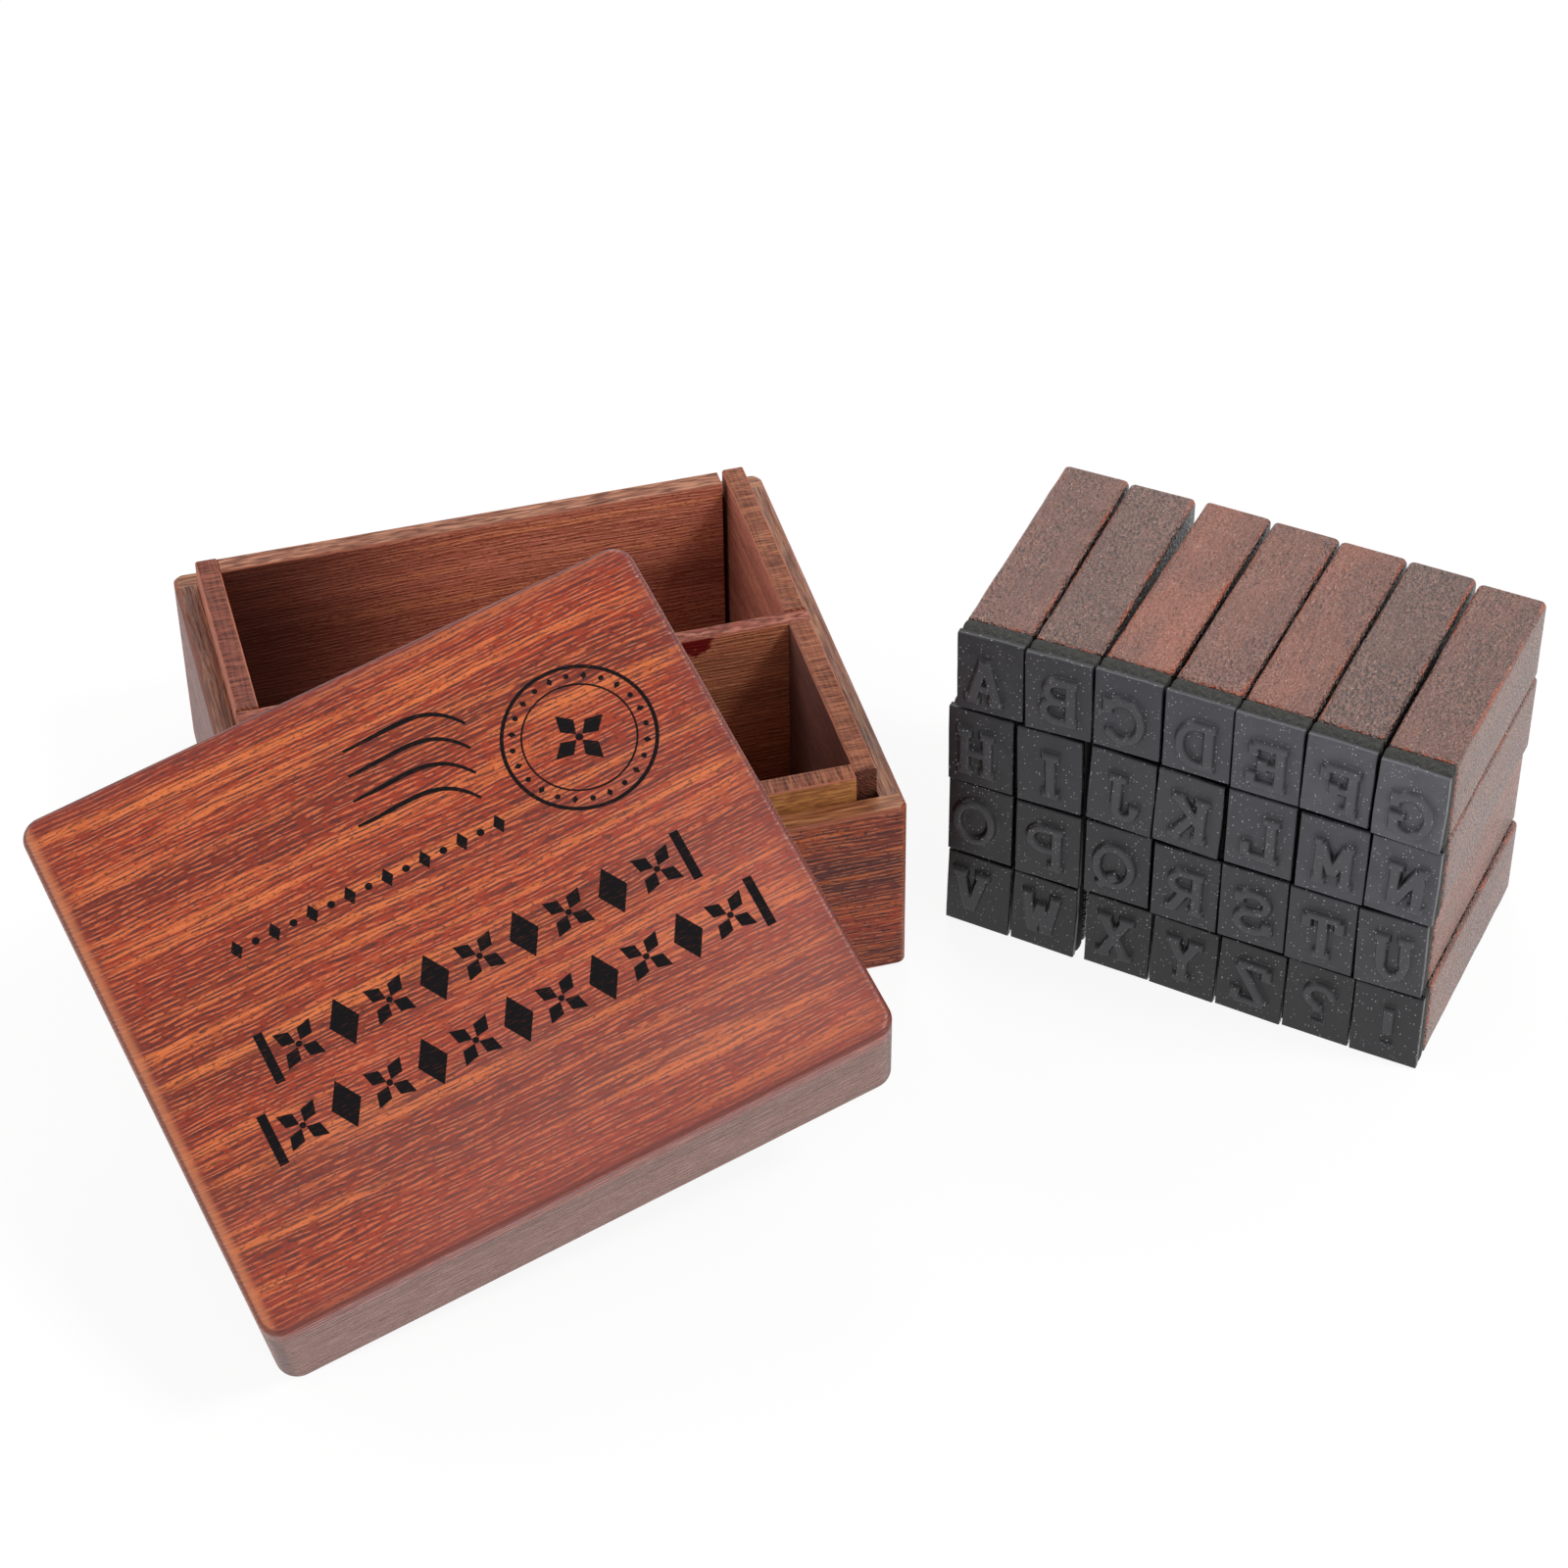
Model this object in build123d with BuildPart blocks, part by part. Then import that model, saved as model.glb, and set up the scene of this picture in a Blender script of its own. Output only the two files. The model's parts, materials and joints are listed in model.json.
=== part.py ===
"""Alphabet stamp box: a wooden box with two compartments, its lift-off lid and 28 letter stamps.

The box stands at the origin, front wall along X, back wall towards +Y. The lid leans on it: one bottom
corner of the lid stands on the table, its back rail rests on the lip above the left wall and its right
rail on the lip above the front wall. The stamps lie on their sides to the right of the box, four rows of
seven, with their rubber faces to the front and their wooden ends to the back.
"""

import os
from math import cos, radians, sin, sqrt

from build123d import *

# Box base
box_width = 106.0
box_depth = 93.6
ledge_height = 35.2
wall_thickness = 3.9
wall_corner_radius = 1.8
wall_chamfer = 0.6
floor_thickness = 4.0

# Liners inside the walls, which stand above them as a lip for the lid
liner_thickness = 3.9
lip_height = 5.0
liner_edge_radius = 0.5
liner_notch = 1.6
liner_gap = 1.0

# Divider, halved into the side liners
divider_thickness = 3.0
divider_edge_radius = 0.4
kerf_depth = 18.0
kerf_clearance = 0.5

# Lid, as large outside as the box
lid_height = 23.4
lid_board_thickness = 4.0
lid_fit = 0.3
lid_corner_radius = 3.6
lid_edge_radius = 1.3
lid_rim_chamfer = 0.4

# How the lid leans: its heading, and where along the box its two rails rest
lid_heading = 9.6
left_rest_share = 0.2665
front_rest_share = 0.708
lid_rest_clearance = 0.1
lean_rounds = 40

# One stamp: a wooden block, a foam cushion and a rubber die
block_width = 11.6
block_height = 15.8
block_length = 44.3
block_edge_radius = 1.0
block_end_chamfer = 0.5
cushion_thickness = 2.8
cushion_margin = 0.05
die_thickness = 1.2
die_side_margin = 0.1
die_end_margin = 0.2

# The stack of stamps, from its nearest corner, set back from the front of the box
stack_heading = -41.15
stack_gap = 9.65
stack_set_back = 8.6
column_gap = 0.4
row_gap = 0.15

# Top row first. Each stamp is pushed along its row and along its own length by a share of the play
stamp_rows = (
    ("a", "b", "c", "d", "e", "f", "g"),
    ("h", "i", "j", "k", "l", "m", "n"),
    ("o", "p", "q", "r", "s", "t", "u"),
    ("v", "w", "x", "y", "z", "question", "exclamation"),
)
row_play = 1.0
row_play_shares = (
    (-0.2, -0.35, 0.15, 0.25, 0.05, -0.05, 0.1),
    (-0.65, -0.55, 0.0, -0.3, 0.05, 0.4, 0.2),
    (-0.45, -0.25, 0.05, 0.2, 0.0, -0.2, -0.35),
    (-0.45, -0.45, 0.9, 0.8, 0.7, 0.5, 0.3),
)
length_play = 1.0
length_play_shares = (
    (0.1, 0.15, 0.65, 0.4, 0.15, 0.0, -0.9),
    (0.05, 0.1, 0.35, 0.1, 0.05, -0.5, -0.45),
    (0.3, 0.05, 0.3, -0.15, -0.2, -0.4, -0.55),
    (0.25, 0.2, 0.3, 0.05, -0.15, -0.15, -0.4),
)
turned_stamps = {"a": 1.9, "b": 1.8}

# Derived sizes
inner_width = box_width - 2 * wall_thickness
inner_depth = box_depth - 2 * wall_thickness
lip_top = ledge_height + lip_height
liner_height = lip_top - floor_thickness
rail_thickness = wall_thickness - lid_fit
rail_height = lid_height - lid_board_thickness
stamp_length = die_thickness + cushion_thickness + block_length
column_pitch = block_width + column_gap
row_pitch = block_height + row_gap


def keep(shape, name):
    """Label a finished piece and write it to its own file."""
    shape.label = name
    export_step(shape, f"parts/{name}.step")


def rounded_block(plane, height, corner_radius):
    """A block of the box's width and depth that stands on a plane, its uprights rounded."""
    with BuildPart() as block:
        with BuildSketch(plane):
            RectangleRounded(box_width, box_depth, corner_radius)
        extrude(amount=height)
    return block.part


def board_of(block, plane, width, depth, height, across=0, along=0, level=0):
    """One board of a block: what lies inside a box of the given size, centred on the plane's axes."""
    with BuildPart() as board:
        add(block)
        with BuildSketch(plane.offset(level)):
            with Locations((across, along)):
                Rectangle(width, depth)
        extrude(amount=height, mode=Mode.INTERSECT)
    return board.part


def make_walls():
    """Front and back walls cover the ends of the side walls."""
    with BuildPart() as shell:
        add(rounded_block(Plane.XY, ledge_height, wall_corner_radius))
        chamfer(shell.faces().filter_by(Axis.Z).edges(), wall_chamfer)
    side_offset = (box_width - wall_thickness) / 2
    end_offset = (box_depth - wall_thickness) / 2
    for name, side in (("front_wall", -1), ("back_wall", 1)):
        wall = board_of(shell.part, Plane.XY, box_width, wall_thickness, ledge_height, along=side * end_offset)
        keep(wall, name)
    for name, side in (("left_wall", -1), ("right_wall", 1)):
        wall = board_of(shell.part, Plane.XY, wall_thickness, inner_depth, ledge_height, across=side * side_offset)
        keep(wall, name)


def make_bottom_panel():
    """The floor lies between the four walls, flush with their undersides."""
    with BuildPart() as bottom_panel:
        with BuildSketch(Plane.XY):
            Rectangle(inner_width, inner_depth)
        extrude(amount=floor_thickness)
    keep(bottom_panel.part, "bottom_panel")


def liner(length, along_y, centre_x, centre_y):
    """A liner board on the floor, its two long top edges eased."""
    size = (liner_thickness, length) if along_y else (length, liner_thickness)
    with BuildPart() as board:
        with BuildSketch(Plane.XY.offset(floor_thickness)):
            with Locations((centre_x, centre_y)):
                Rectangle(*size)
        extrude(amount=liner_height)
        top_edges = board.faces().sort_by(Axis.Z)[-1].edges()
        fillet(top_edges.filter_by(Axis.Y if along_y else Axis.X), liner_edge_radius)
    return board.part


def make_liners():
    """Side liners run front to back with a kerf for the divider, the other two lie between them."""
    side_offset = (inner_width - liner_thickness) / 2
    end_offset = (inner_depth - liner_thickness) / 2
    between = inner_width - 2 * liner_thickness
    for name, side, notch in (("left_liner", -1, 0), ("right_liner", 1, liner_notch)):
        board = liner(inner_depth - notch, True, side * side_offset, notch / 2)
        with BuildPart() as side_liner:
            add(board)
            with BuildSketch(Plane.XY.offset(lip_top)):
                with Locations((side * side_offset, kerf_clearance / 2)):
                    Rectangle(liner_thickness, divider_thickness + kerf_clearance)
            extrude(amount=-kerf_depth, mode=Mode.SUBTRACT)
        keep(side_liner.part, name)
    for name, side, gap in (("front_liner", -1, 0), ("back_liner", 1, liner_gap)):
        keep(liner(between - gap, False, -gap / 2, side * end_offset), name)


def make_divider():
    """The divider stands on the floor, and its upper ends drop into the kerfs of the side liners."""
    with BuildPart() as divider:
        with BuildSketch(Plane.XZ.offset(-divider_thickness / 2)):
            with Locations((0, floor_thickness)):
                Rectangle(inner_width - 2 * liner_thickness, liner_height, align=(Align.CENTER, Align.MIN))
            with Locations((0, lip_top)):
                Rectangle(inner_width, kerf_depth, align=(Align.CENTER, Align.MAX))
        extrude(amount=divider_thickness)
        top_edges = divider.faces().sort_by(Axis.Z)[-1].edges()
        fillet(top_edges.filter_by(Axis.X), divider_edge_radius)
    keep(divider.part, "divider")


def leaning_plane():
    """The plane of the lid's rim, with its origin at the middle of the lid.

    Both rests lie at the height of the lip. The slope is found by steps, so that the lowest point of the
    lid's rounded front-left corner just stands on the table.
    """
    rest_height = lip_top + lid_rest_clearance
    left_rest = Vector(wall_thickness - box_width / 2, box_depth * (left_rest_share - 1 / 2), rest_height)
    front_rest = Vector(box_width * (front_rest_share - 1 / 2), wall_thickness - box_depth / 2, rest_height)
    level_line = front_rest - left_rest
    uphill = Vector(-level_line.Y, level_line.X, 0).normalized()
    heading = Vector(cos(radians(lid_heading)), sin(radians(lid_heading)), 0)
    upwards = Vector(0, 0, 1)
    slope = rest_height / box_depth
    for _ in range(lean_rounds):
        normal = (upwards - uphill * slope).normalized()
        along = (heading + upwards * (slope * heading.dot(uphill))).normalized()
        across = normal.cross(along)
        reach = box_width - rail_thickness - level_line.dot(along)
        corner = left_rest - along * reach - across * (box_depth - rail_thickness)
        tilt = sqrt(along.Z ** 2 + across.Z ** 2)
        rise = lid_corner_radius * (along.Z + across.Z - tilt) + lid_rim_chamfer * min(tilt, normal.Z)
        slope *= (rest_height + rise) / (rest_height - corner.Z)
    centre = corner + along * (box_width / 2) + across * (box_depth / 2)
    return Plane(origin=centre, x_dir=along, z_dir=normal)


def make_lid():
    """A board with rounded edges on four rails, the front and back rails over the ends of the others."""
    rim = leaning_plane()
    upwards = Axis(rim.origin, rim.z_dir)
    with BuildPart() as block:
        add(rounded_block(rim, lid_height, lid_corner_radius))
        chamfer(block.faces().sort_by(upwards)[0].edges(), lid_rim_chamfer)
        fillet(block.faces().sort_by(upwards)[-1].edges(), lid_edge_radius)
    top = board_of(block.part, rim, box_width, box_depth, lid_board_thickness, level=rail_height)
    keep(top, "lid_top")
    side_offset = (box_width - rail_thickness) / 2
    end_offset = (box_depth - rail_thickness) / 2
    between = box_depth - 2 * rail_thickness
    for name, side in (("lid_front_rail", -1), ("lid_back_rail", 1)):
        rail = board_of(block.part, rim, box_width, rail_thickness, rail_height, along=side * end_offset)
        keep(rail, name)
    for name, side in (("lid_left_rail", -1), ("lid_right_rail", 1)):
        rail = board_of(block.part, rim, rail_thickness, between, rail_height, across=side * side_offset)
        keep(rail, name)


def stamp_plane(name, row, column):
    """The plane of a stamp's rubber face, its normal along the stamp to the wooden end."""
    row_heading = radians(stack_heading)
    along_row = Vector(cos(row_heading), sin(row_heading), 0)
    into_stack = Vector(-sin(row_heading), cos(row_heading), 0)
    corner = Vector(box_width / 2 + stack_gap, stack_set_back - box_depth / 2, 0)
    rows_below = len(stamp_rows) - 1 - row
    place = (column + 1 / 2) * column_pitch + row_play * row_play_shares[row][column]
    depth = stamp_length / 2 + length_play * length_play_shares[row][column]
    level = rows_below * row_pitch + block_height / 2
    middle = corner + along_row * place + into_stack * depth + Vector(0, 0, level)
    own_heading = row_heading + radians(turned_stamps.get(name, 0))
    sideways = Vector(cos(own_heading), sin(own_heading), 0)
    lengthways = Vector(-sin(own_heading), cos(own_heading), 0)
    return Plane(origin=middle - lengthways * (stamp_length / 2), x_dir=-sideways, z_dir=lengthways)


def make_stamp(name, row, column):
    """A rubber die on a foam cushion on a wooden block, three glued pieces."""
    face = stamp_plane(name, row, column)
    with BuildPart() as die:
        with BuildSketch(face):
            Rectangle(block_width - 2 * die_side_margin, block_height - 2 * die_end_margin)
        extrude(amount=die_thickness)
    with BuildPart() as cushion:
        with BuildSketch(face.offset(die_thickness)):
            Rectangle(block_width - 2 * cushion_margin, block_height - 2 * cushion_margin)
        extrude(amount=cushion_thickness)
    with BuildPart() as block:
        with BuildSketch(face.offset(die_thickness + cushion_thickness)):
            RectangleRounded(block_width, block_height, block_edge_radius)
        extrude(amount=block_length)
        wooden_end = block.faces().sort_by(Axis(face.origin, face.z_dir))[-1]
        chamfer(wooden_end.edges(), block_end_chamfer)
    die.part.label = "die"
    cushion.part.label = "cushion"
    block.part.label = "block"
    keep(Compound(children=[block.part, cushion.part, die.part]), f"stamp_{name}")


os.makedirs("parts", exist_ok=True)
make_walls()
make_bottom_panel()
make_liners()
make_divider()
make_lid()
for row, names in enumerate(stamp_rows):
    for column, name in enumerate(names):
        make_stamp(name, row, column)
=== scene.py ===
"""Looks of the wooden stamp box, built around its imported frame.

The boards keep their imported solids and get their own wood. Each stamp is replaced by three detailed
pieces: a rounded wooden block, a foam cushion and a rubber die with a raised mirrored character. Thin
films on the lid carry its print. A white studio and the photograph's camera stand round the object.
"""
import json
import math
import random

import bpy
import numpy as np
from mathutils import Matrix, Vector


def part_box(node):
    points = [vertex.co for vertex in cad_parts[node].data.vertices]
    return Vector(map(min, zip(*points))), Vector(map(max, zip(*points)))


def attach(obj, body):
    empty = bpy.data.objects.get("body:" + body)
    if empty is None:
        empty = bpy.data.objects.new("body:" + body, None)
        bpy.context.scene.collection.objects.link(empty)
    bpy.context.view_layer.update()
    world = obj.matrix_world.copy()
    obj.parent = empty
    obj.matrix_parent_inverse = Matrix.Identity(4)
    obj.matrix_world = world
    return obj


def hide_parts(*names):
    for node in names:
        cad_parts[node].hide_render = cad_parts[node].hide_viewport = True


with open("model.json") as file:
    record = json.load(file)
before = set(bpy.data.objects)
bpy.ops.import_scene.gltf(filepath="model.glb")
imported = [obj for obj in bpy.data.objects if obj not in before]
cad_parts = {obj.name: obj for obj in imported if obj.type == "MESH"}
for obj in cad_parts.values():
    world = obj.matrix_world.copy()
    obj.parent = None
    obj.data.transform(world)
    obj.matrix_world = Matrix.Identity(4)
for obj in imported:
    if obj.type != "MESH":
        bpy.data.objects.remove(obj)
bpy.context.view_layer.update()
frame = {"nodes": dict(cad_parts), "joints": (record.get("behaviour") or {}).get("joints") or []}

MM = 0.001
X, Y, Z = Vector((1, 0, 0)), Vector((0, 1, 0)), Vector((0, 0, 1))

# The photograph's camera, from the corners of the box, the lid and the stamps.
PHOTO_PIXELS = 1600
FOCAL_PIXELS = 4272.8
SENSOR_MM = 36.0
CAMERA_PLACE = Vector((-0.09787, -0.53247, 0.49060))
CAMERA_YAW = math.radians(-14.963)
CAMERA_PITCH = math.radians(41.522)
CAMERA_ROLL = math.radians(0.698)
CAMERA_CLIP = (0.01, 50)

# The studio's light, at a plain level: the world's strength at the sides and overhead, and the heights of the
# direction between which it falls off.
WORLD_SIDES = 1.0
WORLD_TOP = 0.36
WORLD_FALL = (0.45, 0.95)

# Lamps: name, place, target and size in metres, and watts.
LAMPS = (
    ("key", (0.95, -0.55, 1.35), (0.02, 0.0, 0.02), 0.42, 15.0),
    ("fill", (-1.1, -0.9, 1.1), (0.0, 0.0, 0.02), 1.2, 1.5),
    ("left", (-1.2, 0.5, 0.85), (0.0, 0.0, 0.02), 0.7, 4.5),
    ("back", (0.34, 1.1, 1.0), (0.05, 0.0, 0.04), 0.7, 5.0),
)

# The floor, in millimetres from its middle to its sides and below the object, and how far it glows for the camera.
FLOOR_REACH = 6000
FLOOR_DROP = 0.02
FLOOR_GLOW = 0.9

# The stack of stamps. The seed starts the random wear.
PER_ROW = 7
ROWS = 4
WEAR_SEED = 28

# Stamps, in millimetres along the stamp's own axes: x across, y along to the back, z up.
CUSHION_MM = 2.8
DIE_MM = 1.2
BLOCK_EDGE = 0.95
BLOCK_END = 0.55
CUSHION_EDGE = 0.35
CUSHION_INSET = 0.05
DIE_SIDE_INSET = 0.03
DIE_END_INSET = 0.14
DIE_EDGE = 0.22
LETTER_WIDTH = 8.5
LETTER_HEIGHT = 9.4
LETTER_RISE = 0.85
LETTER_SLOPE = 0.5
STEM_MM = 1.85
BAR_MM = 1.45
ARC_MM = 1.55
GRID_MM = 0.115

# The rings along a block, and the share of a die's faces that is kept.
BLOCK_RINGS = 13
KEEP_FACES = 0.22

# How red the stain is on the blocks of the top row, from 0 to 1. The others get a random share.
REDNESS = {"a": 0.35, "b": 0.15, "c": 0.95, "d": 0.6, "e": 0.75, "f": 0.1, "g": 0.3}

# Grain: how many fibres lie side by side in a millimetre, and how far they wander, in radians of their ripple.
FIBRES_PER_MM = 1.3
FIBRE_WANDER = 11.0

# How far the noise moves from one board to the next, and from the first stamp to the last in millimetres.
BOARD_SHIFT = 17.3
BLOCK_SHIFT = 613.0
DIE_SHIFT = 411.0

# How far the ambient occlusion looks for the painted shade, in millimetres: into the box, between stamps and beside
# the characters.
NOOK_MM = 45.0
GAP_MM = 3.0
HOLLOW_MM = 1.3
OCCLUSION_SAMPLES = 8

# The print, in millimetres on the lid's top from its front left corner: the film's thickness and how far it
# stands out, the ring, the four waves, the row of small ornaments, and the two rows of large ones with their
# height, first and last place and number of ornaments.
INK_MM = 0.06
INK_PROUD = 0.03
RING_CENTRE = (84.4, 65.9)
RINGS = ((12.2, 0.62), (9.1, 0.3))
RING_SIDES = 120
TICK_RADIUS = 10.65
TICKS = 24
WAVES = 4
WAVE_START = (50.6, 81.0)
WAVE_STEP = (-1.1, -4.2)
WAVE_LENGTH = 19.0
WAVE_SIDES = 36
SMALL_ROW = (58.6, 22.0, 3.2, 15)
LARGE_ROWS = (("print_row_one", 40.3, 24.0, 85.0, 9), ("print_row_two", 28.2, 19.0, 91.5, 11))
POST_GAP = 5.0
LARGE_SCALE = 0.95
SMALL_SCALE = 0.38
DOT_SIDES = 16
LOZENGE = [(-2.6, 0.0), (0.0, -4.4), (2.6, 0.0), (0.0, 4.4)]
TICK = [(-0.7, 0), (0, -0.5), (0.7, 0), (0, 0.5)]
LEAF = [(0.0, 0.6), (1.3, 2.4), (0.0, 4.6), (-1.3, 2.4)]
POST = [(-0.75, -4.4), (0.75, -4.4), (0.75, 4.4), (-0.75, 4.4)]


def rgb(red, green, blue):
    """A colour from its 0 to 255 screen values."""
    def linear(value):
        value = value / 255
        return value / 12.92 if value <= 0.04045 else ((value + 0.055) / 1.055) ** 2.4
    return (linear(red), linear(green), linear(blue), 1.0)


class Look:
    """One procedural material, with short names for the nodes that it is built from."""

    def __init__(self, name):
        self.material = bpy.data.materials.new(name)
        self.material.use_nodes = True
        self.tree = self.material.node_tree
        self.shader = self.tree.nodes["Principled BSDF"]

    def feed(self, socket, value):
        """Links a socket to an output, or sets it to a fixed value."""
        if isinstance(value, bpy.types.NodeSocket):
            self.tree.links.new(value, socket)
        else:
            socket.default_value = value

    def node(self, kind, inputs=None, **settings):
        made = self.tree.nodes.new(kind)
        for key, value in settings.items():
            setattr(made, key, value)
        for key, value in (inputs or {}).items():
            if value is not None:
                self.feed(made.inputs[key], value)
        return made

    def calc(self, operation, a, b=None, c=None):
        return self.node("ShaderNodeMath", {0: a, 1: b, 2: c}, operation=operation).outputs[0]

    def times(self, a, b):
        return self.calc("MULTIPLY", a, b)

    def dot(self, a, b):
        return self.node("ShaderNodeVectorMath", {0: a, 1: b}, operation="DOT_PRODUCT").outputs["Value"]

    def step(self, value, low, high, to_low=0.0, to_high=1.0):
        """A smooth step from one value to another as the input goes from low to high."""
        inputs = {"Value": value, "From Min": low, "From Max": high, "To Min": to_low, "To Max": to_high}
        return self.node("ShaderNodeMapRange", inputs, interpolation_type="SMOOTHSTEP").outputs[0]

    def mix(self, factor, a, b):
        """From colour a at 0 to colour b at 1."""
        return self.node("ShaderNodeMix", {0: factor, 6: a, 7: b}, data_type="RGBA").outputs[2]

    def along(self, axis):
        """The place along a direction, in millimetres."""
        return self.dot(self.node("ShaderNodeTexCoord").outputs["Object"], tuple(axis / MM))

    def parts(self, axes):
        """The places along three directions: in wood along the grain, across it and through the board."""
        return [self.along(axis) for axis in axes]

    def facing(self, axis):
        """How squarely the surface faces a direction: 1 straight on, -1 straight away."""
        return self.dot(self.node("ShaderNodeTexCoord").outputs["Normal"], tuple(axis))

    def stretched(self, parts, scales, shift=0.0):
        """A vector from three places, each with its own scale and its own share of a shift."""
        made = self.node("ShaderNodeCombineXYZ")
        for number, (part, scale) in enumerate(zip(parts, scales)):
            self.feed(made.inputs[number], self.calc("MULTIPLY_ADD", part, scale, shift * (number + 1)))
        return made.outputs[0]

    def noise(self, parts, scales, shift=0.0, detail=2.0, rough=0.5):
        vector = self.stretched(parts, scales, shift)
        inputs = {"Vector": vector, "Scale": 1.0, "Detail": detail, "Roughness": rough}
        return self.node("ShaderNodeTexNoise", inputs).outputs["Fac"]

    def cells(self, parts, scales, shift=0.0):
        return self.node("ShaderNodeTexVoronoi", {"Vector": self.stretched(parts, scales, shift), "Scale": 1.0})

    def open_within(self, reach, **settings):
        """How open the surface is within a reach in millimetres: 1 in the open, 0 closed in."""
        return self.node("ShaderNodeAmbientOcclusion", {"Distance": reach * MM}, samples=OCCLUSION_SAMPLES,
                         **settings).outputs["AO"]

    def tagged(self, name):
        """A number that the piece carries."""
        return self.node("ShaderNodeAttribute", attribute_name=name).outputs["Fac"]

    def paint(self, colour, roughness, height=None, depth=0.0, gloss=0.5):
        """Finishes the material. The depth is that of the relief, in millimetres."""
        self.feed(self.shader.inputs["Base Color"], colour)
        self.feed(self.shader.inputs["Roughness"], roughness)
        self.feed(self.shader.inputs["Specular IOR Level"], gloss)
        if height is not None:
            bump = self.node("ShaderNodeBump", {"Height": height, "Distance": depth * MM, "Strength": 1.0})
            self.feed(self.shader.inputs["Normal"], bump.outputs[0])
        return self.material


def edge_of(look, axes):
    """How far the surface leans off the piece's three directions: 0 on its faces, 1 on its worn edges."""
    off = None
    for axis in axes:
        size = look.calc("ABSOLUTE", look.facing(axis))
        off = size if off is None else look.calc("MAXIMUM", off, size)
    return look.step(off, 0.98, 0.80)


def ripple_of(look, parts, shift):
    """The fine ripple of short fibres that lie side by side along the grain, from -1 to 1."""
    wander = look.noise(parts, (0.11, 0.8, 0.8), shift, detail=1.0)
    across = look.calc("MULTIPLY_ADD", parts[2], 0.7, parts[1])
    phase = look.calc("MULTIPLY_ADD", across, FIBRES_PER_MM * math.tau, look.times(wander, FIBRE_WANDER))
    strength = look.noise(parts, (0.42, 1.5, 1.5), shift + 31.0, detail=1.0)
    return look.times(look.calc("SINE", phase), look.step(strength, 0.36, 0.62, 0.1, 1.0))


def sawn_top(look, colour, parts, shift, top):
    """A board's upper face, where the sawn wood shows: three colours, and the scales along and across it."""
    low, middle, high, along, across = top
    cracks = look.noise(parts, (along, across, across), shift, detail=1.0)
    patch = look.noise(parts, (0.5 * along, 0.5 * across, 0.5 * across), shift + 7.0)
    bare = look.mix(look.step(patch, 0.38, 0.62), middle, high)
    bare = look.mix(look.step(cracks, 0.56, 0.36, 0.0, 0.8), bare, low)
    return look.mix(look.times(look.step(look.facing(Z), 0.75, 0.97), 0.92), colour, bare)


def wood(name, axes, seed, dark, mid, light, streak, edge, streaks=0.5, grain=1.0, banding=0.5, rough=0.42,
         depth=0.1, gloss=0.5, nook_shade=0.0, top=None, extra=None):
    """Stained wood. The colours are the dark grain, the stain, the light flecks, the long streaks and the edges.

    The strengths of the streaks, the grain, the bands and the painted shade in the nooks run from 0 to 1.
    """
    look = Look(name)
    parts = look.parts(axes)
    shift = BOARD_SHIFT * seed
    sway = look.noise(parts, (0.011, 0.03, 0.03), shift, detail=1.0)
    across = look.calc("MULTIPLY_ADD", look.calc("SUBTRACT", sway, 0.5), 5.0, parts[1])
    swayed = [parts[0], across, parts[2]]
    bands = look.noise(swayed, (0.008, 0.13, 0.13), shift)
    long_streaks = look.noise(swayed, (0.014, 0.32, 0.32), shift, detail=4.0, rough=0.6)
    fibres = ripple_of(look, swayed, shift)
    pores = look.noise(swayed, (1.3, 2.6, 2.6), shift, detail=1.0, rough=0.6)
    colour = look.mix(look.step(bands, 0.35, 0.6, 1.0 - banding, 1.0), dark, mid)
    colour = look.mix(look.times(look.step(long_streaks, 0.5, 0.66), streaks), colour, streak)
    colour = look.mix(look.step(fibres, 0.0, 0.8, 0.0, min(0.8 * grain, 1.0)), colour, light)
    colour = look.mix(look.step(fibres, 0.1, -0.7, 0.0, min(0.95 * grain, 1.0)), colour, dark)
    deep = tuple(0.35 * c for c in dark[:3]) + (1.0,)
    colour = look.mix(look.step(pores, 0.42, 0.3, 0.0, 0.8 * grain), colour, deep)
    if top is not None:
        colour = sawn_top(look, colour, parts, shift, top)
    if extra is not None:
        colour = extra(look, colour, parts)
    colour = look.mix(look.times(edge_of(look, axes), 0.75), colour, edge)
    if nook_shade:
        # Painted shade: darker where the box closes round the surface, as far as the ambient occlusion reaches.
        colour = look.mix(look.step(look.open_within(NOOK_MM), 0.6, 0.15, 0.0, nook_shade), colour, rgb(24, 8, 5))
    height = look.calc("MULTIPLY_ADD", fibres, 0.5, look.times(pores, 0.4))
    roughness = look.step(fibres, -0.7, 0.7, rough + 0.10, rough - 0.06)
    return look.paint(colour, roughness, height, depth, gloss)


def dress(boards, first_seed):
    """Gives packed boards their wood. Each row is a node, its axes, its slot and its looks."""
    for seed, (node, axes, slot_name, looks) in enumerate(boards, first_seed):
        board = frame["nodes"][node]
        board.data.materials.clear()
        board.data.materials.append(wood(f"{node}_wood", axes, seed, **looks))


def largest_normal(node):
    """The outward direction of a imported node's largest flat face."""
    polygons = frame["nodes"][node].data.polygons
    return max(polygons, key=lambda p: p.area).normal.copy()


def lid_matrix():
    """The lid's own frame: x along its grain, y to its back, z out of its top, from the top's front left."""
    up = largest_normal("lid_top")
    up = up if up.z > 0 else -up
    back = largest_normal("lid_front_rail")
    back = back if back.y > 0 else -back
    along = back.cross(up).normalized()
    back = up.cross(along).normalized()
    places = [v.co for n in ("lid_top", "lid_front_rail", "lid_left_rail") for v in frame["nodes"][n].data.vertices]
    corner = along * min(p.dot(along) for p in places) + back * min(p.dot(back) for p in places)
    corner = corner + up * max(p.dot(up) for p in places)
    made = Matrix((along, back, up)).transposed().to_4x4()
    made.translation = corner
    return made


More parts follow.
